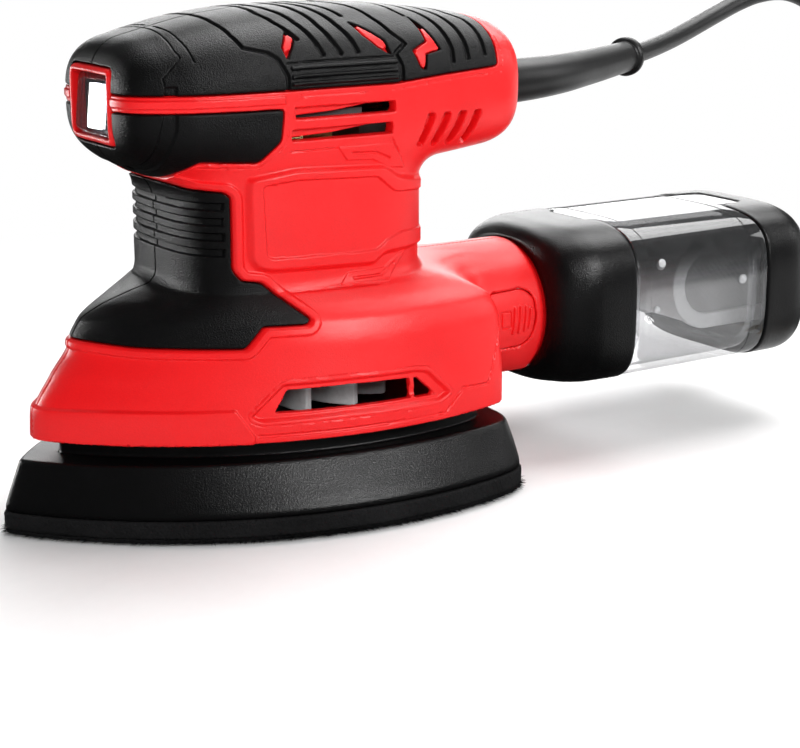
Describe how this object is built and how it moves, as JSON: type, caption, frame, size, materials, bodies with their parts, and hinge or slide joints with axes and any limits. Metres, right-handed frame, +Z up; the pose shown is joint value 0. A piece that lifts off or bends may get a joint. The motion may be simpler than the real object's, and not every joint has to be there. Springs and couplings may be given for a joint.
{
  "type": "detail mouse sander",
  "caption": "Palm-grip detail sander with an iron-shaped orbital pad, clamshell housing, removable clear dust box and mains lead.",
  "frame": {"origin": "foot of the motor axis on the pad's lower face, where the sanding sheet goes", "axes": "+X along the tool from the pad's tip to the dust box, +Y to the tool's right side, +Z up along the motor axis"},
  "size_m": [0.3942, 0.1305, 0.1332],
  "materials": {
    "red_plastic": "fine satin grain",
    "black_grip": "soft fine sparkle grain",
    "black_plastic": "satin",
    "clear_plastic": "clear polished polycarbonate",
    "clear_boot": "clear glossy dust boot",
    "grey_plastic": "satin",
    "filter_cloth": "non-woven filter cloth",
    "bearing_steel": "ground steel",
    "zinc_steel": "zinc plated",
    "electrical_steel": "laminated",
    "cast_alloy": "die cast",
    "copper": "enamelled copper",
    "brass_plate": "stamped brass",
    "carbon": "carbon graphite",
    "rubber": "matte",
    "foam": "dense foam",
    "hook": "hook fastener",
    "yellow_film": "film capacitor",
    "white_plastic": "thermoset",
    "wire_blue": "insulated wire",
    "cord_rubber": "satin cable sheath"
  },
  "bodies": {
    "housing": {"housing_left": "red_plastic", "housing_right": "red_plastic", "top_grip_left": "black_grip", "top_grip_right": "black_grip", "nose_grip_left": "black_grip", "nose_grip_right": "black_grip", "front_boot_left": "black_grip", "front_boot_right": "black_grip", "switch_frame": "red_plastic", "switch_boot": "clear_boot", "switch_body": "black_plastic", "base_baffle": "black_plastic", "isolator_posts": "rubber", "housing_screws": "zinc_steel", "stator_core": "electrical_steel", "field_coils": "copper", "lower_bracket": "cast_alloy", "lower_bearing": "bearing_steel", "upper_bracket": "cast_alloy", "upper_bearing": "bearing_steel", "bearing_sleeve": "rubber", "brush_holders": "brass_plate", "carbon_brushes": "carbon", "brush_springs": "zinc_steel", "capacitor": "yellow_film", "terminal_block": "white_plastic", "wiring": "wire_blue", "cord_clamp": "black_plastic", "clamp_screws": "zinc_steel", "strain_relief": "cord_rubber", "inner_lead": "cord_rubber", "cord": "cord_rubber", "cord_coil": "cord_rubber", "coil_tie": "black_plastic", "cord_tail": "cord_rubber", "plug": "cord_rubber", "plug_blades": "brass_plate"},
    "rotor": {"motor_shaft": "bearing_steel", "armature_core": "electrical_steel", "armature_windings": "copper", "commutator": "copper", "cooling_fan": "grey_plastic", "counterweight": "zinc_steel", "pad_screw": "zinc_steel"},
    "pad": {"pad_bearing": "bearing_steel", "pad_plate": "black_plastic", "pad_foam": "foam", "hook_layer": "hook"},
    "dust_box": {"dust_collar": "black_plastic", "spigot_seal": "rubber", "dust_window": "clear_plastic"},
    "dust_cap_body": {"dust_cap": "black_plastic", "filter_frame": "grey_plastic", "filter_cloth": "filter_cloth"},
    "rocker": {"switch_rocker": "black_plastic"},
    "latch_left_body": {"latch_left": "red_plastic"},
    "latch_right_body": {"latch_right": "red_plastic"}
  },
  "joints": [
    {"name": "rotor_spin", "type": "hinge", "parent": "housing", "child": "rotor", "pos_m": [0, 0, 0.05], "axis": [0, 0, 1], "continuous": true},
    {"name": "pad_orbit", "type": "hinge", "parent": "rotor", "child": "pad", "pos_m": [0.001, 0, 0.0135], "axis": [0, 0, 1], "continuous": true},
    {"name": "switch_rock", "type": "hinge", "parent": "housing", "child": "rocker", "pos_m": [-0.043, 0, 0.1104], "axis": [0, -1, 0], "range_deg": [0, 16]},
    {"name": "dust_box_pull", "type": "slide", "parent": "housing", "child": "dust_box", "axis": [1, 0, 0], "range_m": [0, 0.06]},
    {"name": "dust_cap_pull", "type": "slide", "parent": "dust_box", "child": "dust_cap_body", "axis": [1, 0, 0], "range_m": [0, 0.03]},
    {"name": "latch_left_press", "type": "hinge", "parent": "housing", "child": "latch_left_body", "pos_m": [0.0544, -0.0198, 0.0412], "axis": [0, 0, 1], "range_deg": [0, 4], "stiffness_Nm_per_rad": 0.4},
    {"name": "latch_right_press", "type": "hinge", "parent": "housing", "child": "latch_right_body", "pos_m": [0.0544, 0.0198, 0.0412], "axis": [0, 0, -1], "range_deg": [0, 4], "stiffness_Nm_per_rad": 0.4}
  ],
  "couplings": [
    {"joint": "pad_orbit", "follows": "rotor_spin", "ratio": -1}
  ]
}
